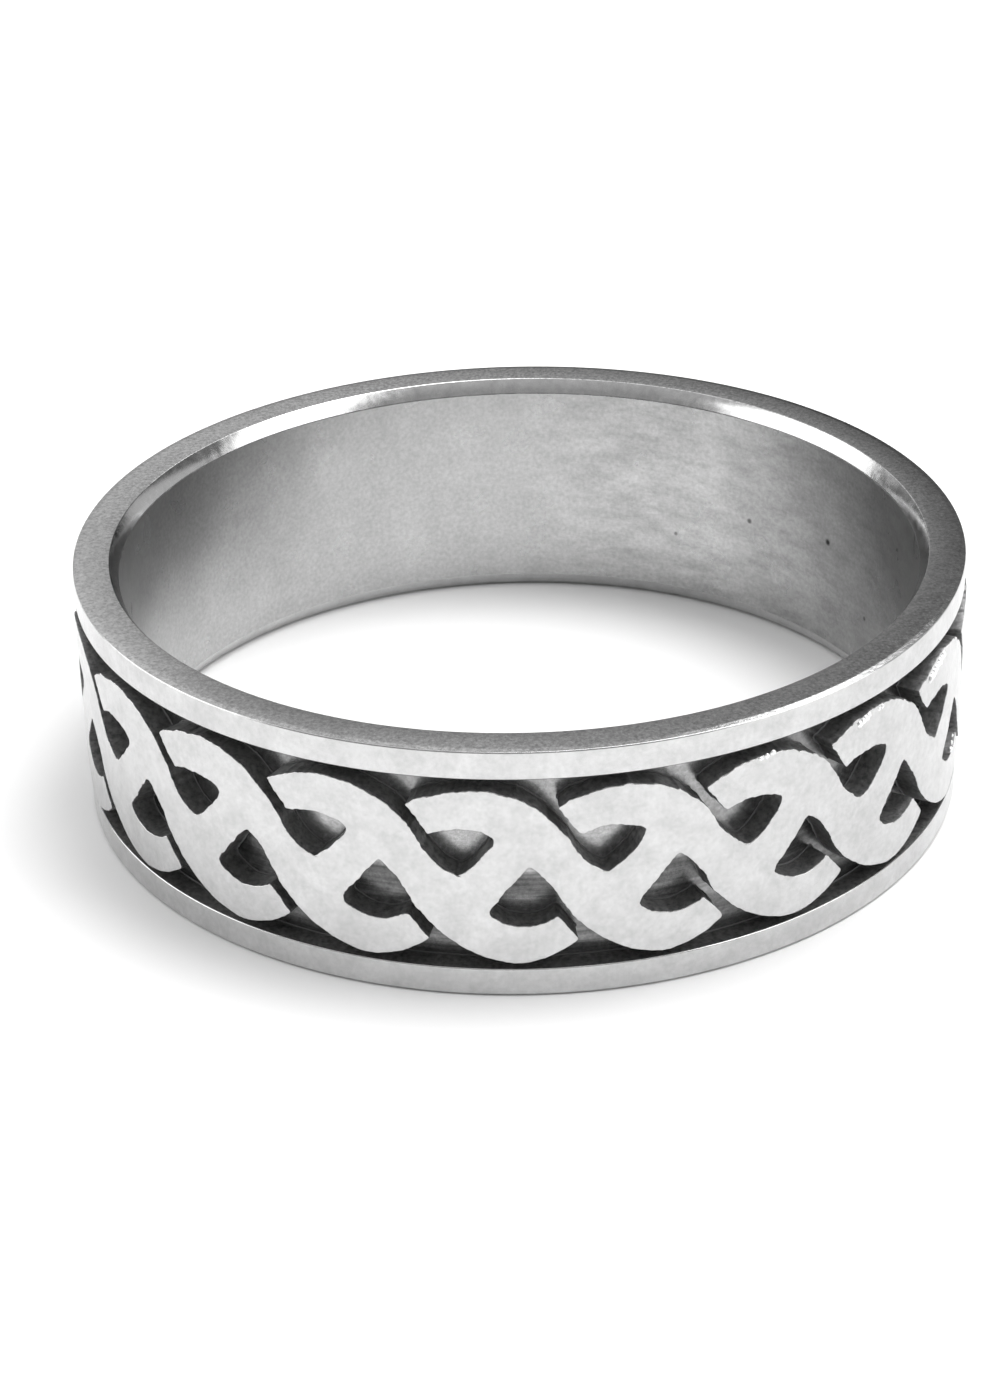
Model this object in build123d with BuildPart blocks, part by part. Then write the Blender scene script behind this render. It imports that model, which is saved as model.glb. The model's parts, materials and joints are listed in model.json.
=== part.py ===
from build123d import *
from collections import namedtuple
from math import radians, sin
import os

# A finger ring, cast in one piece of silver. A braid in relief runs round it, in a sunken channel between two
# plain rims. Lengths are in millimetres. The ring lies on its side: its axis is Z, its lower face is at Z = 0,
# and the middle of the front is at -Y.

# Driving dimensions
finger_diameter = 18.8
wall = 1.05  # from the bore to the face of each plain rim
band_width = 6.0  # along the axis of the finger
rim_height = 0.67  # each plain rim, along the same axis
recess_depth = 0.50  # from the face of a rim down to the channel's floor
braid_proud = 0.05  # the flat top of the braid stands this far outside the rims
upper_gap = 0.23  # channel left open between the upper rim and the tops of the arches
lower_gap = 0.19  # the same between the arches and the lower rim
repeats = 20  # strands of the braid round the ring
eye_offset = 0.472  # how far an upper eye is from the lower eye on its right, as a share of the pitch
chamfer_across = 0.20  # inner chamfer, from the bore towards the outside
chamfer_along = 0.36  # the same chamfer, along the axis
worn_across = 0.20  # outer bevel, worn nearly flat, on each end face
worn_along = 0.05
point_radius = 0.10  # rounding of each eye's point
corner_radius = 0.14  # rounding of the eye's wide corner
tip_radius = 0.05  # rounding of a strand's cut end and of the corner inside it

# Worked out from these
bore_radius = finger_diameter / 2
rim_radius = bore_radius + wall
braid_radius = rim_radius + braid_proud
floor_radius = rim_radius - recess_depth
pitch = 360 / repeats
middle = band_width / 2
channel_half = middle - rim_height
upper_crest = channel_half - upper_gap
lower_crest = channel_half - lower_gap

# An opening of the braid is the sunken field between two strands: a valley under the rim, the narrow groove
# beside a strand's cut end, and the eye that the groove leads to. Each place on its outline is a pair: how far
# round the ring from the eye's point, as a share of the pitch, and how high above the middle of the band, as a
# share of the height of the arches. A lower opening is the same field, turned by half a turn.
Opening = namedtuple(
    "Opening",
    "crest_before shoulder cheek bowl point wide_corner roof near_corner cut_tip rise crest_after",
)
upper_opening = Opening(
    crest_before=(-0.918, 1.00),
    shoulder=(-0.468, 0.77),
    cheek=(-0.238, 0.33),
    bowl=(-0.128, 0.12),
    point=(0.000, 0.00),
    wide_corner=(0.257, 0.42),
    roof=(0.020, 0.54),
    near_corner=(-0.188, 0.475),
    cut_tip=(-0.342, 0.795),
    rise=(-0.211, 0.895),
    crest_after=(0.082, 1.00),
)
lower_opening = Opening(
    crest_before=(-0.886, 1.00),
    shoulder=(-0.455, 0.70),
    cheek=(-0.228, 0.35),
    bowl=(-0.100, 0.04),
    point=(0.000, -0.10),
    wide_corner=(0.285, 0.40),
    roof=(0.050, 0.56),
    near_corner=(-0.176, 0.455),
    cut_tip=(-0.325, 0.73),
    rise=(-0.170, 0.885),
    crest_after=(0.114, 1.00),
)


def seen_in_front(place, crest):
    """A place of an opening as it lies when its eye is in front: across and up, in millimetres."""
    share, height = place
    return (braid_radius * sin(radians(share * pitch)), height * crest)


def cut_opening(shape, crest, gap):
    """The solid that is cut away for one opening, from the channel's floor out past the braid."""
    at = {name: seen_in_front(place, crest) for name, place in shape._asdict().items()}
    into_gap = crest + gap / 2
    roundings = {
        "point": point_radius,
        "wide_corner": corner_radius,
        "near_corner": tip_radius,
        "cut_tip": tip_radius,
    }
    with BuildPart() as opening:
        with BuildSketch(Plane.XZ) as outline:
            with BuildLine():
                ThreePointArc(at["crest_before"], at["shoulder"], at["cheek"])
                ThreePointArc(at["cheek"], at["bowl"], at["point"])
                Line(at["point"], at["wide_corner"])
                ThreePointArc(at["wide_corner"], at["roof"], at["near_corner"])
                Line(at["near_corner"], at["cut_tip"])
                ThreePointArc(at["cut_tip"], at["rise"], at["crest_after"])
                Line(at["crest_after"], (at["crest_after"][0], into_gap))
                Line((at["crest_after"][0], into_gap), (at["crest_before"][0], into_gap))
                Line((at["crest_before"][0], into_gap), at["crest_before"])
            make_face()
            for corner, radius in roundings.items():
                fillet(outline.vertices().sort_by_distance(at[corner])[0], radius)
        extrude(amount=braid_radius + wall)
        Cylinder(floor_radius, 2 * band_width, mode=Mode.SUBTRACT)
    return opening.part


def half_profile(crest):
    """The band's profile above its middle, from the bore to the braid: distance from the axis and height."""
    return [
        (bore_radius, middle - chamfer_along),
        (bore_radius + chamfer_across, middle),
        (rim_radius - worn_across, middle),
        (rim_radius, middle - worn_along),
        (rim_radius, channel_half),
        (floor_radius, channel_half),
        (floor_radius, crest),
        (braid_radius, crest),
    ]


# The band is turned with a plain raised belt in its channel, and the braid is what the openings leave of it
with BuildPart() as band:
    with BuildSketch(Plane(origin=(0, 0, middle), x_dir=(1, 0, 0), z_dir=(0, -1, 0))):
        with BuildLine():
            upper_half = half_profile(upper_crest)
            lower_half = [(across, -up) for across, up in half_profile(lower_crest)]
            Polyline(*upper_half, *reversed(lower_half), close=True)
        make_face()
    revolve(axis=Axis.Z)
    with Locations((0, 0, middle)):
        with PolarLocations(0, repeats, start_angle=-eye_offset * pitch):
            add(cut_opening(upper_opening, upper_crest, upper_gap), mode=Mode.SUBTRACT)
        with PolarLocations(0, repeats):
            half_turn = (0, 180, 0)
            add(cut_opening(lower_opening, lower_crest, lower_gap), rotation=half_turn, mode=Mode.SUBTRACT)

band.part.label = "band"
os.makedirs("parts", exist_ok=True)
export_step(band.part, "parts/band.step")
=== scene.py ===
# %% [markdown]
# # A silver band ring with a braid in relief
# The real ring is one casting: a smooth round bore, two plain polished rims, and between the rims a
# sunken channel, blackened on purpose, in which a flat-topped braid stands. It lies on its side on a
# pale table. The lesson loads the ring's solid as a fixed frame and makes the ring again as one fine
# mesh. Many bands are made flat, as a strip of sheet, and then bent round and joined at the ends, and
# that is how the mesh is made too: what is hard to model on a cylinder is easy to model on a table.

import bmesh
import bpy
import json
from collections import namedtuple
from math import ceil, cos, pi, radians, sin
from mathutils import Matrix, Vector, kdtree, noise


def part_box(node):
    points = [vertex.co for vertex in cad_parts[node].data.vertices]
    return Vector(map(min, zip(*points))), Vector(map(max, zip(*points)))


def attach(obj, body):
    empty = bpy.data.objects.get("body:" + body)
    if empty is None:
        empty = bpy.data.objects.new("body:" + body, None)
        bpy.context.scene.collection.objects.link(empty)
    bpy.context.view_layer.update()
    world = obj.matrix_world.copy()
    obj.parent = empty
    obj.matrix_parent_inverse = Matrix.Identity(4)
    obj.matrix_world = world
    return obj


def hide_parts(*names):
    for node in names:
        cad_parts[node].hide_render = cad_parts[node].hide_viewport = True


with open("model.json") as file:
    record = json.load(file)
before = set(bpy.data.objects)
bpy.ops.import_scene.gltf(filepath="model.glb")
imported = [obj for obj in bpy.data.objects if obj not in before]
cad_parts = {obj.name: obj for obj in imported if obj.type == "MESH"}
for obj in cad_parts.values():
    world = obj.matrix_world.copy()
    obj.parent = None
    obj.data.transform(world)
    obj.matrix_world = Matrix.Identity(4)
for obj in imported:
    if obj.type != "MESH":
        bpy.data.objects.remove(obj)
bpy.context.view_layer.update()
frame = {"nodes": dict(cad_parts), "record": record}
print("the frame holds", sorted(frame["nodes"]))

# %% [markdown]
# ## Sizes
# The frame gives the outside, the width and the bore. The rest was read off the photo, in millimetres,
# and the mesh is modelled in millimetres too and brought to metres at the end, because small plain
# numbers are easier to judge. One pitch is one strand of the braid, measured round its flat tops.

# %% Sizes in millimetres
MM = 0.001
lower_corner, upper_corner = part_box("band")
bore = {mount["name"]: mount for mount in frame["record"]["mounts"]}["finger_bore"]["dims"]
braid_radius = (upper_corner.x - lower_corner.x) / 2 / MM
band_width = (upper_corner.z - lower_corner.z) / MM
middle = band_width / 2
wall = braid_radius - bore["r_mm"]
chamfer_along = (band_width - bore["length_mm"]) / 2
chamfer_across = 0.20
shoulder_along, shoulder_across = 0.40, 0.53  # where the chamfer bends a little, as shares of it
rim_height = 0.67
rim_step = 0.05  # the rims stand this far inside the braid's tops
edge_along, edge_across = 0.027, 0.016  # steep facet where each rim turns into its end face
round_along, round_across = 0.015, 0.125  # the border of the end face next to it, rubbed round
worn_along, worn_across = 0.002, 0.060  # and a narrow one next to that, rubbed nearly flat
dished_along, dished_across = 0.016, 0.22  # its inner border, dished by filing
recess_depth = 0.55  # from the braid's tops to the channel's floor
upper_gap, lower_gap = 0.23, 0.15  # between the arches' crests and the rims
channel_half = middle - rim_height
upper_crest = channel_half - upper_gap
lower_crest = channel_half - lower_gap
repeats = 20
pitch = 2 * pi * braid_radius / repeats
eye_offset = 0.472  # an upper eye lies this far ahead of the lower eye on its right, in pitches
print(f"braid radius {braid_radius:.3f}, width {band_width:.3f}, pitch {pitch:.3f} mm")

# %% [markdown]
# ## The outline of the braid
# Seen square on, the braid is a lattice of S-shaped strands whose cut ends lie against the next strand.
# Its whole outline is two wavy lines, one towards each rim. Each line falls into a groove beside a cut
# end, runs round an eye and climbs back over the next arch. It could be traced as hundreds of points,
# but six strokes a repeat say the same and can be changed one by one. A stroke is an arc through a place
# on its way, or straight where there is none, and the corner at its end is eased by so many passes of
# smoothing. Places are shares: along by the pitch, from the eye's point, and up by the arches' height.

# %% The strokes of one repeat
Stroke = namedtuple("Stroke", "name through end easing")
upper_start = (-0.918, 1.00)
upper_strokes = [
    Stroke("over the shoulder", (-0.468, 0.775), (-0.238, 0.330), 3),
    Stroke("down to the eye's point", (-0.128, 0.120), (0.000, 0.000), 3),
    Stroke("up the eye's far side", (0.130, 0.175), (0.276, 0.440), 18),
    Stroke("back under the arch", (0.020, 0.540), (-0.188, 0.475), 1),
    Stroke("up the cut end", None, (-0.342, 0.795), 1),
    Stroke("up to the crest", (-0.211, 0.895), (0.082, 1.000), 20),
]
lower_start = (-0.886, 1.00)
lower_strokes = [
    Stroke("over the shoulder", (-0.500, 0.765), (-0.228, 0.350), 3),
    Stroke("down to the eye's point", (-0.100, 0.030), (0.000, -0.115), 3),
    Stroke("up the eye's far side", (0.140, 0.130), (0.290, 0.400), 7),
    Stroke("back under the arch", (0.050, 0.560), (-0.176, 0.455), 1),
    Stroke("up the cut end", None, (-0.325, 0.730), 1),
    Stroke("up to the crest", (-0.170, 0.885), (0.114, 1.000), 20),
]
print(len(upper_strokes), "strokes a repeat, from", upper_strokes[0].name, "to", upper_strokes[-1].name)

# %% [markdown]
# ## Drawing with operators
# A stroke is drawn by spinning the pen's last vertex about the arc's centre, which leaves a chain of
# edges behind it. A spin that doesn't turn but moves on at each step draws a straight stroke. The arc's
# centre comes from the three places that the arc runs through.

# %% A pen that draws strokes
point_spacing = 0.06  # mm along a stroke


def centre_of_arc(start, through, end):
    """The centre of the circle through three places."""
    first, second = through - start, end - start
    normal = first.cross(second)
    across = second.length_squared * normal.cross(first) + first.length_squared * second.cross(normal)
    return start + across / (2 * normal.length_squared)


def draw_stroke(line, pen, through, end):
    """Spins the vertex named pen along an arc, or straight on, and returns the chain's last vertex."""
    start = pen.co.copy()
    centre, turn, length = start, 0, (end - start).length
    if through:
        centre = centre_of_arc(start, through, end)
        turn = (end - centre).xy.angle_signed((start - centre).xy)
        if (turn > 0) != ((through - start).cross(end - through).z > 0):
            turn -= 2 * pi * (1 if turn > 0 else -1)
        length = abs(turn) * (start - centre).length
    steps = ceil(length / point_spacing)
    ahead = (0, 0, 0) if through else (end - start) / steps
    made = bmesh.ops.spin(line, geom=[pen], cent=centre, axis=(0, 0, 1), angle=turn, dvec=ahead, steps=steps)
    return next(item for item in made["geom_last"] if isinstance(item, bmesh.types.BMVert))


trial = centre_of_arc(Vector((1, 0, 0)), Vector((0, 1, 0)), Vector((-1, 0, 0)))
print("the arc through (1, 0), (0, 1) and (-1, 0) has its centre at", tuple(trial.xy))

# %% [markdown]
# ## From strokes to an outline
# The strokes of one repeat are drawn in a row, and the same kind of spin copies the whole repeat. Then
# each corner is eased by smoothing the chain near it. On the real braid wear and casting did that.

# %% A whole outline
line_merge = 0.002  # mm
longest_reach = 0.6  # an easing reaches no farther than this from its corner, mm


def draw_outline(start, strokes, crest, copies):
    """The wire of one outline: a repeat, its copies, and their eased corners."""
    line = bmesh.new()
    pen = line.verts.new((start[0] * pitch, start[1] * crest, 0))
    corners = []
    for stroke in strokes:
        places = [Vector((place[0] * pitch, place[1] * crest, 0)) if place else None
                  for place in (stroke.through, stroke.end)]
        pen = draw_stroke(line, pen, *places)
        corners.append((pen.co.copy(), stroke.easing))
    bmesh.ops.spin(line, geom=line.verts[:] + line.edges[:], axis=(0, 0, 1), angle=0,
                   dvec=(pitch, 0, 0), steps=copies - 1, use_duplicate=True)
    bmesh.ops.remove_doubles(line, verts=line.verts, dist=line_merge)
    for place, easing in corners:
        reach = min((easing + 1.5) * point_spacing, longest_reach)
        for copy in range(copies):
            corner = place + copy * Vector((pitch, 0, 0))
            near = [v for v in line.verts if (v.co - corner).length < reach and len(v.link_edges) == 2]
            for _ in range(easing):
                bmesh.ops.smooth_vert(line, verts=near, factor=0.5, use_axis_x=True, use_axis_y=True)
    return line


copies = 3
upper_line = draw_outline(upper_start, upper_strokes, upper_crest, copies)
lower_line = draw_outline(lower_start, lower_strokes, lower_crest, copies)
print("the upper line has", len(upper_line.edges), "edges and the lower one", len(lower_line.edges))

# %% [markdown]
# ## A strip of three repeats
# The middle repeat of three has neighbours on both sides, so what is done to it at its ends comes out
# the same as anywhere else. The lower line was drawn as an upper one is, so it is turned by half a turn.
# The bmesh that is drawn in can't be joined to another one directly, so a plain mesh carries it over.

# %% Lay both lines on the strip
def lay_on(strip, line):
    """Adds a drawn line to the strip and returns the edges that it became."""
    carrier = bpy.data.meshes.new("carrier")
    line.to_mesh(carrier)
    line.free()
    before = len(strip.edges)
    strip.from_mesh(carrier)
    bpy.data.meshes.remove(carrier)
    strip.edges.ensure_lookup_table()
    return strip.edges[before:]


strip = bmesh.new()
strength_name = "__mod_weightednormals_faceweight"  # a layer that the shading modifier reads at the end
strip.faces.layers.int.new(strength_name)
bmesh.ops.translate(upper_line, verts=upper_line.verts, vec=(-eye_offset * pitch, 0, 0))
bmesh.ops.rotate(lower_line, verts=lower_line.verts, cent=(0, 0, 0), matrix=Matrix.Rotation(pi, 3, "Z"))
bmesh.ops.translate(lower_line, verts=lower_line.verts, vec=((copies - 2) * pitch, 0, 0))
upper_edges = lay_on(strip, upper_line)
lower_edges = lay_on(strip, lower_line)
print(len(upper_edges), "edges in the upper line,", len(lower_edges), "in the lower one")

# %% [markdown]
# ## Three long faces
# They make the strip's front: the braid between its two lines, and the two fields of channel between a
# line and a rim. At the left the braid's face is closed straight up. At the right a straight joint would
# cut through an eye, so it goes round by a place past it.

# %% Fill the faces
past_eye_along, past_eye_up = 0.45, 0.4  # from the upper line's end, in pitches, and in arches' heights


def ends_of(edges):
    """The two loose ends of a chain of edges, the left one first."""
    loose = [vert for edge in edges for vert in edge.verts if len(vert.link_edges) == 1]
    return sorted(loose, key=lambda vert: vert.co.x)


def fill(edges):
    """One face inside a closed loop of edges, facing out of the strip."""
    face = bmesh.ops.contextual_create(strip, geom=edges)["faces"][0]
    face.normal_update()
    if face.normal.z < 0:
        face.normal_flip()
    return face


upper_ends, lower_ends = ends_of(upper_edges), ends_of(lower_edges)
fields = []
for edges, ends, side in ((upper_edges, upper_ends, 1), (lower_edges, lower_ends, -1)):
    corners = [strip.verts.new((end.co.x, side * channel_half, 0)) for end in ends]
    borders = [strip.edges.new(pair) for pair in (corners, (corners[0], ends[0]), (corners[1], ends[1]))]
    fields.append(fill(list(edges) + borders))
past_last_eye = strip.verts.new((upper_ends[1].co.x + past_eye_along * pitch, past_eye_up * upper_crest, 0))
joints = [
    strip.edges.new((upper_ends[0], lower_ends[0])),
    strip.edges.new((upper_ends[1], past_last_eye)),
    strip.edges.new((past_last_eye, lower_ends[1])),
]
braid = fill(list(upper_edges) + list(lower_edges) + joints)
print("braid face has", len(braid.verts), "corners; areas", [round(f.calc_area(), 3) for f in strip.faces])

# %% [markdown]
# ## Sink the channel
# In the casting the channel is a floor with upright walls, so the two fields are extruded inwards. Each
# face gets its finish as it is made: the finishes are numbered, and the numbers become the mesh's
# material slots.

# %% Extrude the fields inwards
finishes = range(8)
POLISHED, SATIN, CHAMFER, BORE, WALLS, FLOOR, CORNERS, BURRS = finishes


def of_kind(geometry, kind):
    """The vertices, edges or faces among the things that an operator returned."""
    return [item for item in geometry if isinstance(item, kind)]


field_edges = [edge for field in fields for edge in field.edges]
made = bmesh.ops.extrude_face_region(strip, geom=fields + field_edges)["geom"]
floors = of_kind(made, bmesh.types.BMFace)
bmesh.ops.translate(strip, verts=of_kind(made, bmesh.types.BMVert), vec=(0, 0, -recess_depth))
for face in strip.faces:
    face.material_index = POLISHED if face is braid else FLOOR if face in floors else WALLS
print(sum(face.material_index == WALLS for face in strip.faces), "wall faces round", len(floors), "floors")

# %% [markdown]
# ## Rims, end faces and bore
# The strip's cross-section beyond the channel is a short walk: over the rim, round the worn outer edge,
# across the slightly dished end face, down the chamfer and along the bore to the middle, where both
# walks meet. One long edge is extruded from stop to stop. A profile spun round the axis would do as
# well, but the strip is still flat, and a straight extrusion keeps its joints with the channel exact.

# %% Extrude the rims
rim_edge = middle - worn_along - round_along
facet_out = -rim_step - edge_across
round_out = facet_out - round_across
shoulder_out = shoulder_across * chamfer_across - wall
Stop = namedtuple("Stop", "name up out finish easing")  # easing: width of the bevel at its far edge, mm
stops = [
    Stop("rim", rim_edge - edge_along, -rim_step, POLISHED, 0.006),
    Stop("steep facet", rim_edge, facet_out, POLISHED, 0.006),
    Stop("round border", middle - worn_along, round_out, SATIN, 0.020),
    Stop("worn border", middle, round_out - worn_across, SATIN, 0),
    Stop("end face", middle, chamfer_across + dished_across - wall, SATIN, 0),
    Stop("dished border", middle - dished_along, chamfer_across - wall, SATIN, 0.015),
    Stop("shoulder", middle - shoulder_along * chamfer_along, shoulder_out, CHAMFER, 0),
    Stop("chamfer", middle - chamfer_along, -wall, CHAMFER, 0.020),
    Stop("bore", 0, -wall, BORE, 0),
]
channel_edges = []
far_edges = {stop.name: [] for stop in stops}
for side in (1, -1):
    edge = next(e for e in strip.edges
                if all(abs(v.co.y - side * channel_half) + abs(v.co.z) < 1e-6 for v in e.verts))
    bmesh.ops.translate(strip, verts=edge.verts[:], vec=(0, 0, -rim_step))
    channel_edges.append(edge)
    for stop in stops:
        made = bmesh.ops.extrude_edge_only(strip, edges=[edge])["geom"]
        ends = of_kind(made, bmesh.types.BMVert)
        step = Vector((0, side * stop.up, stop.out)) - Vector((0, ends[0].co.y, ends[0].co.z))
        bmesh.ops.translate(strip, verts=ends, vec=step)
        edge = next(e for e in of_kind(made, bmesh.types.BMEdge) if all(v in ends for v in e.verts))
        of_kind(made, bmesh.types.BMFace)[0].material_index = stop.finish
        far_edges[stop.name].append(edge)
print("faces by finish", [sum(f.material_index == n for f in strip.faces) for n in finishes])

# %% [markdown]
# ## Soften the edges
# No edge of a worn ring is sharp. The braid's upper edges are rubbed round, the walls run into the floor
# in a small fillet, as cast metal does, and the rims' long edges are eased. A Bevel modifier would treat
# them all alike, so each kind gets its own bevel here. A bevel takes the finish of the faces beside it,
# but the fillets get one of their own, since soot gathers there. Bevelled faces are marked as weak: where
# they meet a flat, the flat's own direction wins, so flats mirror as flats.

# %% Bevel
weak = -16384  # the least strength that the layer knows
top_easing, fillet, upper_rim_fillet = 0.020, 0.035, 0.022  # mm
strength = strip.faces.layers.int[strength_name]


def soften(edges, width, finish=None):
    """Bevels edges with small weak faces."""
    made = bmesh.ops.bevel(strip, geom=edges, offset=width, offset_type="OFFSET", affect="EDGES",
                           segments=2, profile=0.5, material=-1)
    for face in made["faces"]:
        face[strength] = weak
        face.material_index = face.material_index if finish is None else finish


soften([edge for edge in braid.edges if edge not in joints], top_easing)
soften([edge for floor in floors for edge in floor.edges], fillet, CORNERS)
soften(channel_edges[:1], upper_rim_fillet, CORNERS)
soften(channel_edges[1:], fillet, POLISHED)
for stop in stops:
    if stop.easing:
        soften(far_edges[stop.name], stop.easing, stop.finish)
print(len(strip.verts), "vertices,", len(strip.faces), "faces")

# %% [markdown]
# ## Cut one tile out of the strip
# Two upright cuts make the tile's ends. More of them, all along the tile and up its width, turn its wide
# faces into a net of small ones that can follow the bend. The floor gets a finer net, because its soot
# is painted on its vertices. Subdividing would give no even net, since the long faces have so many
# corners.

# %% Cut with planes
slices, floor_slices = 12, 36  # meshes of the net to a pitch
tile_merge = 0.0005  # mm


def cut(faces, plane_co, plane_no, **clear):
    """Cuts the faces by a plane."""
    geometry = list(dict.fromkeys(item for face in faces for item in (face, *face.edges, *face.verts)))
    bmesh.ops.bisect_plane(strip, geom=geometry, plane_co=plane_co, plane_no=plane_no, dist=1e-5, **clear)


def cut_net(chosen, slices):
    """Cuts the faces of the chosen finishes into a net with so many meshes to a pitch."""
    rows = ceil(band_width / pitch * slices)
    planes = [((pitch * step / slices, 0, 0), (1, 0, 0)) for step in range(1, slices)]
    planes += [((0, band_width * (step / rows - 0.5), 0), (0, 1, 0)) for step in range(1, rows)]
    for place, normal in planes:
        cut([face for face in strip.faces if face.material_index in chosen], place, normal)


cut(strip.faces, (0, 0, 0), (1, 0, 0), clear_inner=True)
cut(strip.faces, (pitch, 0, 0), (1, 0, 0), clear_outer=True)
cut_net((POLISHED, SATIN, CHAMFER, BORE, WALLS, CORNERS), slices)
cut_net((FLOOR,), floor_slices)
bmesh.ops.remove_doubles(strip, verts=strip.verts, dist=tile_merge)
bmesh.ops.triangulate(strip, faces=[face for face in strip.faces if len(face.verts) > 4])
print(len(strip.verts), "vertices and", len(strip.faces), "faces a tile; mm2 by finish",
      [round(sum(f.calc_area() for f in strip.faces if f.material_index == n), 2) for n in finishes])

# %% [markdown]
# ## Soot by distance
# The channel was blackened with liver of sulphur, and polishing took the black off only where the cloth
# reached: in the middle of the upper eyes and fields. The lower eyes instead get painted shade and, at
# their top, a painted highlight. It could be painted by hand, but measuring treats all repeats alike.
# Each vertex of the floor gets a number for how bright it is, by its distance from the nearest wall or,
# in the lower eyes, by its height, and the floor's finish reads it.

# %% Measure how clean the floor is
bare_from, bare_at = 0.24, 0.50  # mm from a wall where bare metal starts to show, and where it is bare
sooty, bare = 0.38, 0.46  # how bright the metal is there
lower_field_share = 0.5  # the lower fields are only cleaned by this share
eye_bottom = -1.40  # mm from the band's middle, as the next four are: where the lower eyes end
shade_from, shade_at = -1.00, -0.70  # painted shade darkens the lower eyes upwards
lit_from, lit_at = -0.30, -0.12  # and a painted highlight brightens them towards their points
eye_low, eye_shade, eye_highlight = 0.36, 0.16, 0.52  # how bright the floor is painted in them: low down, in the painted shade and in the painted highlight


def ramp(value, start, stop):
    """Rises softly from 0 at start to 1 at stop."""
    share = min(max((value - start) / (stop - start), 0), 1)
    return share * share * (3 - 2 * share)


brightness = strip.verts.layers.float.new("brightness")
feet = [v for v in strip.verts if {FLOOR, CORNERS} <= {face.material_index for face in v.link_faces}]
near_feet = kdtree.KDTree(len(feet) * copies)
for number, foot in enumerate(feet):
    for copy in range(copies):
        near_feet.insert(foot.co + (copy - 1) * Vector((pitch, 0, 0)), number * copies + copy)
near_feet.balance()
for vert in strip.verts:
    if any(face.material_index == FLOOR for face in vert.link_faces):
        up = vert.co.y
        if eye_bottom < up < 0:
            # the lower eyes: painted shade upwards, then a painted highlight towards their points
            shade_share, lit = ramp(up, shade_from, shade_at), ramp(up, lit_from, lit_at)
            vert[brightness] = eye_low + (eye_shade - eye_low) * shade_share + (eye_highlight - eye_shade) * lit
        else:
            away = ramp(near_feet.find(vert.co)[2], bare_from, bare_at)
            vert[brightness] = sooty + (bare - sooty) * away * (1 if up > 0 else lower_field_share)
print(len(feet), "vertices at the walls' feet; brightest", round(max(v[brightness] for v in strip.verts), 2))

# %% [markdown]
# ## Join twenty tiles and bend them round
# A spin without a turn lays the tiles end to end, as the jeweller's strip would lie. A modifier could
# bend them, but placing each vertex by its distance along the strip is exact. The photo shows the braid
# a little tighter in front than twenty even repeats would be, as if the ring had been stretched at its
# back to size it, so the bend is a little uneven.

# %% Bend
tightness = 0.0239  # front repeats are this share narrower than the average, back ones as much wider
bmesh.ops.spin(strip, geom=strip.verts[:] + strip.edges[:] + strip.faces[:], axis=(0, 0, 1), angle=0,
               dvec=(pitch, 0, 0), steps=repeats - 1, use_duplicate=True)
for vert in strip.verts:
    even = vert.co.x / braid_radius
    turn = even - tightness * sin(even)
    out = braid_radius + vert.co.z
    vert.co = (out * sin(turn), -out * cos(turn), middle + vert.co.y)
bmesh.ops.remove_doubles(strip, verts=strip.verts, dist=tile_merge)
bmesh.ops.recalc_face_normals(strip, faces=strip.faces)
open_edges = sum(len(edge.link_faces) != 2 for edge in strip.edges)
print(len(strip.faces), "faces round the ring,", open_edges, "open edges")

# %% [markdown]
# ## The hand in it
# The braid was carved in wax and cast, so its outline wavers: by a few hundredths of a millimetre over a
# third of a millimetre, and more finely too. The lower arches came out smoother than the upper ones, and
# those at the right rougher. Noise moves the vertices round and along the ring but not outwards, so walls
# stay upright and tops and floor stay true, and it dies out before the rims. It has a fixed seed, so the
# ring is the same each time.

# %% Waver
noise.seed_set(1)
Wave = namedtuple("Wave", "length height")  # mm
waves = [Wave(0.38, 0.060), Wave(0.09, 0.045)]
rough_wave = Wave(0.15, 0.060)  # one more, for the rough casting on the upper arches at the right
rough_right = (4.0, 6.5)  # mm to the right of the middle, where it starts and where it is full
rough_up = (0.7, 1.4)  # mm above the middle, likewise
inside, upper_arches, lower_arches = 0.60, 0.65, 0.30  # how strongly each part of the outline wavers
arch_from, arch_at = 0.9, 1.8  # mm from the middle, where inside turns into arch
calm_by_rim = 0.1  # mm from a rim's foot
hair = 0.01  # mm
floor_radius = braid_radius - recess_depth


def waver(vert):
    """Moves a vertex of the braid or of the channel's floor round and along the ring."""
    out = vert.co.xy.length
    up = abs(vert.co.z - middle)
    if out < floor_radius - hair or up > channel_half - hair:
        return
    round_way = Vector((-vert.co.y, vert.co.x, 0)) / out
    place = Vector((vert.co.x / out, vert.co.y / out, 0)) * braid_radius + Vector((0, 0, vert.co.z))
    arch = min(max((up - arch_from) / (arch_at - arch_from), 0), 1)
    arches = upper_arches if vert.co.z > middle else lower_arches
    strength = (inside + (arches - inside) * arch) * min((channel_half - up) / calm_by_rim, 1)
    shift = Vector()
    for wave in waves:
        shift += noise.noise_vector(place / wave.length) * wave.height
    rough = ramp(vert.co.x, *rough_right) * ramp(vert.co.z - middle, *rough_up)
    shift += noise.noise_vector(place / rough_wave.length) * rough_wave.height * rough
    vert.co += (round_way * shift.x + Vector((0, 0, shift.z))) * strength


for vert in strip.verts:
    waver(vert)
spans = [max(v.co[i] for v in strip.verts) - min(v.co[i] for v in strip.verts) for i in range(3)]
print("the ring's box is", [round(span, 3) for span in spans], "mm")

# %% [markdown]
# ## Burrs
# Where the wax was carved roughly, tiny lumps of metal stand on the arches' edges at the right. Nobody
# filed them off, and they catch the light. Each is a small ball, half sunk in the edge, flattened and
# made lumpy. A rougher bump on the edge would do from afar, but only real lumps break its outline.

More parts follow.
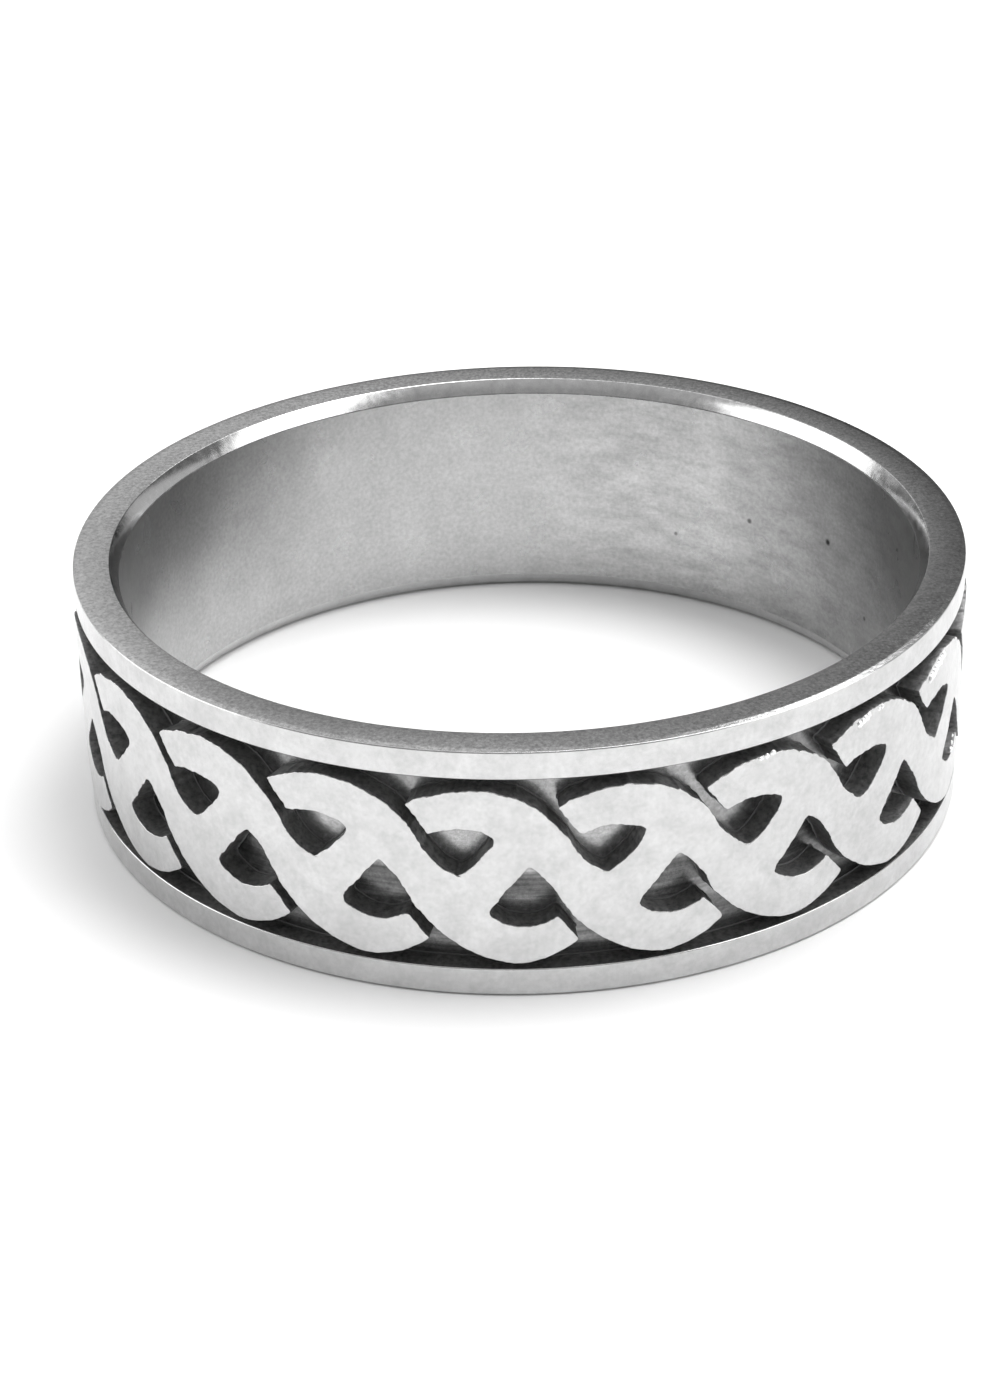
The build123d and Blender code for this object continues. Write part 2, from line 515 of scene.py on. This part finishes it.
# %% Set the burrs on the arches
Burrs = namedtuple("Burrs", "first_angle first_up last_angle last_up number size")
rows_of_burrs = [  # degrees to the right of the front, and mm
    Burrs(28.0, 5.03, 29.6, 5.09, 3, 0.060),
    Burrs(43.4, 4.88, 45.0, 5.00, 4, 0.080),
    Burrs(47.0, 5.00, 47.6, 5.02, 2, 0.050),
    Burrs(59.6, 4.72, 63.8, 4.98, 8, 0.085),
    Burrs(70.2, 1.90, 71.0, 2.20, 3, 0.060),
]
size_spread, flattening, lumpiness = 0.60, 0.45, 0.35  # shares of a burr's size
size_wave = 0.05  # mm from one size to another


def set_burr(outward, up, size):
    """A lumpy ball on the braid's top, in the direction outward and so high above the lower end face."""
    place = outward * braid_radius + Vector((0, 0, up))
    size *= 1 + size_spread * noise.noise(place / size_wave)
    made = bmesh.ops.create_icosphere(strip, subdivisions=2, radius=size, matrix=Matrix.Translation(place))
    for vert in made["verts"]:
        vert.co -= outward * (vert.co - place).dot(outward) * flattening
        vert.co += noise.noise_vector(vert.co / size) * lumpiness * size
        for face in vert.link_faces:
            face.material_index = BURRS


for row in rows_of_burrs:
    for step in range(row.number):
        share = step / (row.number - 1)
        angle = radians(row.first_angle + share * (row.last_angle - row.first_angle))
        up = row.first_up + share * (row.last_up - row.first_up)
        set_burr(Vector((sin(angle), -cos(angle), 0)), up, row.size)
print(sum(row.number for row in rows_of_burrs), "burrs")

# %% [markdown]
# ## The finished piece
# The mesh is brought to metres and stands in for the frame's band. A modifier works out how each face is
# shaded: strong faces lend their own direction to the corners that they share with weak ones.

# %% Make the piece
bmesh.ops.scale(strip, vec=(MM, MM, MM), verts=strip.verts)
for face in strip.faces:
    face.smooth = True
ring_mesh = bpy.data.meshes.new("braid_band")
strip.to_mesh(ring_mesh)
strip.free()
ring = bpy.data.objects.new("braid_band", ring_mesh)
bpy.context.scene.collection.objects.link(ring)
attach(ring, "root")
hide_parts("band")
shading = ring.modifiers.new("face_weighted_shading", "WEIGHTED_NORMAL")
shading.mode = "CORNER_ANGLE"
shading.use_face_influence = True
print(len(ring_mesh.polygons), "faces,", sum(len(p.vertices) - 2 for p in ring_mesh.polygons), "triangles")

# %% [markdown]
# ## Finishes
# The whole ring is one silver, but each part of it was treated in its own way, and each of the eight ways
# is one material. They are made in the order of the finishes' numbers, because each takes the mesh's next
# slot. Silver as grey as this has no colour of its own, so one number is enough for its base colour.

# %% Helpers for metals
def start_material(name, base, roughness):
    """A plain grey metal in the mesh's next slot: its node tree and its shader."""
    material = bpy.data.materials.new(name)
    material.use_nodes = True
    shader = material.node_tree.nodes["Principled BSDF"]
    shader.inputs["Base Color"].default_value = (base, base, base, 1)
    shader.inputs["Metallic"].default_value = 1
    shader.inputs["Roughness"].default_value = roughness
    ring_mesh.materials.append(material)
    print("slot", len(ring_mesh.materials) - 1, "is", name)
    return material.node_tree, shader


def node(tree, kind, inputs=(), **settings):
    """A node with its settings, and its inputs set to values or joined to other nodes' outputs."""
    made = tree.nodes.new("ShaderNode" + kind)
    for name, value in settings.items():
        setattr(made, name, value)
    for socket, value in dict(inputs).items():
        if isinstance(value, bpy.types.NodeSocket):
            tree.links.new(value, made.inputs[socket])
        else:
            made.inputs[socket].default_value = value
    return made


def product(tree, *factors):
    """All the factors multiplied together."""
    result = factors[0]
    for factor in factors[1:]:
        result = node(tree, "Math", {0: result, 1: factor}, operation="MULTIPLY").outputs[0]
    return result


print("the mesh has", len(ring_mesh.materials), "materials so far")

# %% [markdown]
# ## Patterns on metal
# A cast and hand-finished surface is never even. An image could show that, but noise needs no file and
# stays sharp close up. It reads Object coordinates, so it stays on the metal. A noise keeps mostly to the
# middle of its range, so that part is stretched to the range that a finish needs. The same stretching
# goes from one value to another between two places on an axis, or by the distance from a place.

# %% Helpers for patterns
wide = (0.3, 0.7)  # nearly all that a noise reaches, where the usual 0.35 to 0.65 would clip it


def on_metal(tree):
    """The place on the metal, in metres."""
    return node(tree, "TexCoord").outputs["Object"]


def grain(tree, wave, detail=3.0, rough=0.5, place=None):
    """Soft noise whose waves are so many mm long."""
    scale = 1 / (wave * MM)
    inputs = {"Vector": place or on_metal(tree), "Scale": scale, "Detail": detail, "Roughness": rough}
    return node(tree, "TexNoise", inputs).outputs["Fac"]


def spread(tree, value, low, high, start=0.35, stop=0.65):
    """Goes from low to high while the value goes from start to stop."""
    inputs = {"Value": value, "From Min": start, "From Max": stop, "To Min": low, "To Max": high}
    return node(tree, "MapRange", inputs).outputs["Result"]


def between(tree, axis, start, stop, low, high):
    """Goes from low to high between two places on an axis, in mm."""
    place = node(tree, "SeparateXYZ", {0: on_metal(tree)}).outputs[axis]
    return spread(tree, place, low, high, start * MM, stop * MM)


def away_from(tree, place):
    """The distance in metres from a place that is given in mm."""
    made = node(tree, "VectorMath", {0: on_metal(tree), 1: place * MM}, operation="DISTANCE")
    return made.outputs["Value"]


def drawn_round(tree, share):
    """The place on the metal, with its distances round the ring shrunk, so that patterns stretch there."""
    return node(tree, "Mapping", {"Vector": on_metal(tree), "Scale": (share, share, 1)}).outputs["Vector"]


def bump(tree, shader, height, depth):
    """Bumps from a height between 0 and 1, whose full depth is so many mm."""
    made = node(tree, "Bump", {"Height": height, "Distance": depth * MM, "Strength": 1.0})
    tree.links.new(made.outputs["Normal"], shader.inputs["Normal"])


print(f"noise with waves of 0.1 mm has a scale of {1 / (0.1 * MM):.0f}")

# %% [markdown]
# ## Polished: the rims and the braid's tops
# They are rubbed bright by cloth and by wear. One even value would look like plastic, so soft clouds and
# fine specks vary it, and a very shallow bump makes its mirror images swim a little.

# %% Polished silver
tree, shader = start_material("polished_silver", 0.55, 0.2)
cloud = spread(tree, grain(tree, 0.6, 4.0, 0.6), 0.53, 0.61)
speck = spread(tree, grain(tree, 0.13, 2.0, 0.6), 0.93, 1.07, *wide)
tree.links.new(product(tree, cloud, speck), shader.inputs["Base Color"])
tree.links.new(spread(tree, grain(tree, 0.25), 0.18, 0.25), shader.inputs["Roughness"])
bump(tree, shader, grain(tree, 0.5, 2.0), depth=0.0015)
print(len(tree.nodes), "nodes")

# %% [markdown]
# ## Satin: the end faces
# They were filed and sanded, which leaves a fine even grain. One stretch at the front left is duller, and
# the back left is a little brighter, which is a painted reflection. Both go by distance or place and not
# by an image mask.

# %% Satin end faces
tree, shader = start_material("satin_end_faces", 0.6, 0.24)
fine = spread(tree, grain(tree, 0.09, 4.0, 0.75), 0.35, 0.78, *wide)
dull_place = Vector((-5.2, -8.4, band_width))
dull = spread(tree, away_from(tree, dull_place), 0.76, 1.0, 1.0 * MM, 4.5 * MM)
# painted reflection: the back left of the end faces is brightened
painted_reflection = between(tree, "X", -5.0, 0, between(tree, "Y", 1.0, 7.0, 1.0, 1.18), 1.0)
tree.links.new(product(tree, fine, dull, painted_reflection), shader.inputs["Base Color"])
tree.links.new(spread(tree, grain(tree, 0.4), 0.13, 0.17), shader.inputs["Roughness"])
bump(tree, shader, grain(tree, 0.08, 3.0, 0.6), depth=0.002)
print(len(tree.nodes), "nodes")

# %% [markdown]
# ## Rubbed: the chamfers
# A finger rubs them whenever the ring goes on, so they shine in two long glints. The glints are real
# mirror images of two white cards, not paint, and a few cloudy spots break them.

# %% Rubbed chamfers
tree, shader = start_material("rubbed_chamfers", 0.58, 0.22)
tree.links.new(spread(tree, grain(tree, 0.3, 4.0, 0.7), 0.52, 0.64, *wide), shader.inputs["Base Color"])
tree.links.new(spread(tree, grain(tree, 0.3, 3.0, 0.6), 0.14, 0.24), shader.inputs["Roughness"])
bump(tree, shader, grain(tree, 0.35, 3.0, 0.6), depth=0.003)
print(len(tree.nodes), "nodes")

# %% [markdown]
# ## Stained: the bore
# Skin and soap stain it. It is darker at the left and right, which is painted shade standing for the
# darker reflections there, and cloudy smears lie in its right half, stretched round the ring as a cloth
# would draw them. Four small casting pits show as dark dots of painted shade. They could be dents in the
# mesh, but at a tenth of a millimetre a dark spot looks the same.

# %% Stained bore with painted shade
Pit = namedtuple("Pit", "angle up size brightness")  # degrees to the right of the back, mm, mm, share
pits = [
    Pit(27, 1.94, 0.055, 0.4),
    Pit(40.5, 2.83, 0.07, 0.3),
    Pit(57.4, 3.16, 0.085, 0.1),
    Pit(68, 1.74, 0.06, 0.3),
]
tree, shader = start_material("stained_bore_and_painted_shade", 0.45, 0.3)
stain = spread(tree, grain(tree, 1.6, 5.0, 0.6), 0.435, 0.51, *wide)
speck = spread(tree, grain(tree, 0.10, 2.0, 0.6), 0.90, 1.10, *wide)
# painted shade: the bore is darker at its left and right, standing for darker reflections there
painted_shade_left = between(tree, "Z", 1.2, 3.8, 1.0, between(tree, "X", -8.4, -4.8, 0.50, 1.0))
painted_shade_right = between(tree, "Z", -1.5, 2.6, 1.0, between(tree, "X", 5.2, 8.8, 1.0, 0.44))
darkest = between(tree, "X", -1.0, 3.0, 1.0, 0.84)
lightest = between(tree, "X", -1.0, 3.0, 1.0, 1.12)
smear = spread(tree, grain(tree, 0.40, 5.0, 0.75, drawn_round(tree, 0.35)), darkest, lightest, 0.36, 0.62)
# each pit is a dot of painted shade in place of its dent
dots = []
for pit in pits:
    angle, size = radians(pit.angle), pit.size * MM
    spot = Vector((sin(angle) * bore["r_mm"], cos(angle) * bore["r_mm"], pit.up))
    dots.append(spread(tree, away_from(tree, spot), pit.brightness, 1.0, 0.5 * size, 1.3 * size))
base = product(tree, stain, speck, painted_shade_left, painted_shade_right, smear, *dots)
tree.links.new(base, shader.inputs["Base Color"])
tree.links.new(spread(tree, grain(tree, 1.2), 0.27, 0.31), shader.inputs["Roughness"])
print(len(tree.nodes), "nodes,", len(dots), "pits")

# %% [markdown]
# ## Sooty: the channel's walls
# Soot clings to the rough cast walls, and no cloth reaches them, so they are dark and nearly matt, with
# the deepest bump of all.

# %% Sooty walls
tree, shader = start_material("sooty_walls", 0.3, 0.55)
tree.links.new(spread(tree, grain(tree, 0.13, 3.0, 0.7), 0.16, 0.38, *wide), shader.inputs["Base Color"])
bump(tree, shader, grain(tree, 0.15, 3.0, 0.6), depth=0.01)
print(len(tree.nodes), "nodes")

# %% [markdown]
# ## Dark but glossy: the channel's floor
# It reads the brightness that its vertices carry, which repeats with the braid, and adds what the photo
# shows of the cloth's work all round: the floor is cleaner in front than at the sides and sootiest at the
# far right, the fields by the rims are darker, and fine streaks run round it.

# %% Dark channel floor
cleanest = 0.9  # mm to the left of the front
tree, shader = start_material("dark_channel", 0.5, 0.25)
soot = node(tree, "Attribute", attribute_name="brightness").outputs["Fac"]
aside = node(tree, "SeparateXYZ", {0: on_metal(tree)}).outputs["X"]
aside = node(tree, "Math", {0: aside, 1: cleanest * MM}, operation="ADD").outputs[0]
aside = node(tree, "Math", {0: aside}, operation="ABSOLUTE").outputs[0]
both_sides = spread(tree, aside, 1.0, 0.60, 3.9 * MM, 6.0 * MM)
far_right = between(tree, "X", 7.2, 8.6, 1.0, 0.45)
upper_fields = between(tree, "Z", 4.0, 4.5, 1.0, between(tree, "X", -2.0, 3.5, 0.80, 1.0))
lower_fields = between(tree, "Z", 1.45, 1.75, 0.62, 1.0)
streaks = grain(tree, 0.12, 3.0, 0.6, drawn_round(tree, 0.06))
streaked = spread(tree, streaks, between(tree, "Z", 2.9, 3.1, 0.5, 0.9), 1.0)
mottle = spread(tree, grain(tree, 0.09, 3.0, 0.7), 0.72, 1.28, *wide)
base = product(tree, soot, both_sides, far_right, streaked, mottle, upper_fields, lower_fields)
tree.links.new(base, shader.inputs["Base Color"])
bump(tree, shader, streaks, depth=0.0015)
print(len(tree.nodes), "nodes")

# %% [markdown]
# ## Corners and burrs
# Thick soot fills the fillets at the walls' feet, so they look matt. The burrs are bare metal, painted far
# brighter than the rest of the silver as a painted glint.
# Both are too small for a pattern, so two plain materials are enough.

# %% Soot in the corners and burrs with a painted glint
start_material("soot_in_corners", 0.22, 0.8)
# painted glint: the burrs' base is far brighter than the other silver
start_material("bare_burrs_with_painted_glint", 0.92, 0.4)
print(len(ring_mesh.materials), "materials for", len(finishes), "finishes")

# %% [markdown]
# ## Table
# The ring lies on a wide white table, matt, so that it takes a soft shadow and no glare. It is not part
# of the ring, and lies a hair below the ring so that the two don't share a plane.

# %% Table
table_radius, table_drop = 1.2, 0.00002  # m
disc = bmesh.new()
bmesh.ops.create_circle(disc, cap_ends=True, segments=96, radius=table_radius,
                        matrix=Matrix.Translation((0, 0, -table_drop)))
table_mesh = bpy.data.meshes.new("table")
disc.to_mesh(table_mesh)
disc.free()
table = bpy.data.objects.new("table", table_mesh)
bpy.context.scene.collection.objects.link(table)
white = bpy.data.materials.new("white_table")
white.use_nodes = True
paint = white.node_tree.nodes["Principled BSDF"].inputs
paint["Base Color"].default_value = (0.85, 0.85, 0.85, 1)
paint["Roughness"].default_value = 0.9
paint["Specular IOR Level"].default_value = 0.0
table_mesh.materials.append(white)
print("a table", 2 * table_radius, "m wide, facing up:", table_mesh.polygons[0].normal.z > 0)

# %% [markdown]
# ## Room
# Polished metal shows its surroundings, so the light is mostly the room, which is painted on the world's
# background. Its walls are grey, darker at the back right, where the end face looks, and one big soft
# lamp hangs nearly overhead. The camera itself sees plain white behind the table.

# %% Room
overhead_way = Vector((0.24, 0.19, 0.95)).normalized()
overhead, lamp_full, lamp_border = 8.45, cos(radians(11)), cos(radians(20))  # its brightness and its edge
wall_foot, wall_top = 0.05, 1.10  # how bright the room's walls are at the table and overhead
back_left, back_right, front = 1.35, 0.28, 0.74  # how bright its sides are, as shares of its walls
left_to_right, front_to_back = 0.16, 0.30  # how softly one side turns into the next
world = bpy.data.worlds.new("soft_room")
world.use_nodes = True
bpy.context.scene.world = world
tree = world.node_tree
way = node(tree, "TexCoord").outputs["Generated"]
part = node(tree, "SeparateXYZ", {0: way}).outputs
by_height = spread(tree, part["Z"], wall_foot, wall_top, 0, 1)
back = spread(tree, part["X"], back_left, back_right, -left_to_right, left_to_right)
by_side = spread(tree, part["Y"], front, back, -front_to_back, front_to_back)
nearness = node(tree, "VectorMath", {0: way, 1: overhead_way}, operation="DOT_PRODUCT").outputs["Value"]
lamp = spread(tree, nearness, 0, overhead, lamp_border, lamp_full)
room = node(tree, "Math", {0: product(tree, by_height, by_side), 1: lamp}, operation="ADD").outputs[0]
seen = node(tree, "LightPath").outputs["Is Camera Ray"]
shown = node(tree, "Mix", {"Factor": seen, "A": room, "B": 1.0}).outputs["Result"]
tree.links.new(shown, tree.nodes["Background"].inputs["Color"])
bpy.context.scene.view_settings.view_transform = "Standard"
print(len(tree.nodes), "nodes make the room")

# %% [markdown]
# ## Light cards
# White cards stand round the ring, as on a photographer's table. The chamfer's two glints are the left
# and the right card, the low one lights the groove walls, and the two high ones draw the white lines
# along the rims' edges at the right. Area lights do for them, because metal mirrors those too.

# %% Light cards
Card = namedtuple("Card", "name azimuth height width tall radiance")
cards = [  # degrees to the right of the front and up, and m
    Card("right_card", 73, 26, 0.17, 0.15, 2.2),
    Card("left_card", -96, 21, 0.243, 0.15, 2.0),
    Card("low_right_card", 116, 8, 0.24, 0.07, 0.6),
    Card("high_right_card", 85, 55, 0.20, 0.08, 3.0),
    Card("back_right_card", 158, 47, 0.058, 0.088, 2.8),
]
card_distance = 0.25  # m
for card in cards:
    light = bpy.data.lights.new(card.name, "AREA")
    light.shape, light.size, light.size_y = "RECTANGLE", card.width, card.tall
    light.energy = card.radiance * pi * card.width * card.tall
    azimuth, height = radians(card.azimuth), radians(card.height)
    aim = Vector((sin(azimuth) * cos(height), -cos(azimuth) * cos(height), sin(height)))
    holder = bpy.data.objects.new(card.name, light)
    holder.location = aim * card_distance
    holder.rotation_euler = aim.to_track_quat("Z", "Y").to_euler()
    bpy.context.scene.collection.objects.link(holder)
    print(f"{card.name} gives {light.energy:.3f} W")

# %% [markdown]
# ## Camera
# It was fitted to the photo: the ring's ellipses give its height and distance, and the lean is the
# photo's own. The slides shift it sideways and up in its own picture plane, without turning it.

# %% Camera
elevation, lean = radians(28.358), radians(-1.409)
lens, sensor = 78.97, 36.0
camera_distance, slide_right, slide_up = 71.98, -0.490, -3.824  # mm, from the centre of the upper face
rightward = Vector((1, 0, 0))
ahead = Vector((0, cos(elevation), -sin(elevation)))
upward = Vector((0, sin(elevation), cos(elevation)))
side_axis = cos(lean) * rightward + sin(lean) * upward
up_axis = -sin(lean) * rightward + cos(lean) * upward
camera = bpy.data.objects.new("camera", bpy.data.cameras.new("camera"))
camera.data.lens, camera.data.sensor_width = lens, sensor
camera.data.clip_start = 0.001
place = Vector((0, 0, band_width)) + slide_right * side_axis + slide_up * up_axis - camera_distance * ahead
turned = Matrix((side_axis, up_axis, -ahead)).transposed().to_4x4()
camera.matrix_world = Matrix.Translation(place * MM) @ turned
bpy.context.scene.collection.objects.link(camera)
bpy.context.scene.camera = camera
print("camera at", [round(c, 1) for c in place], "mm")
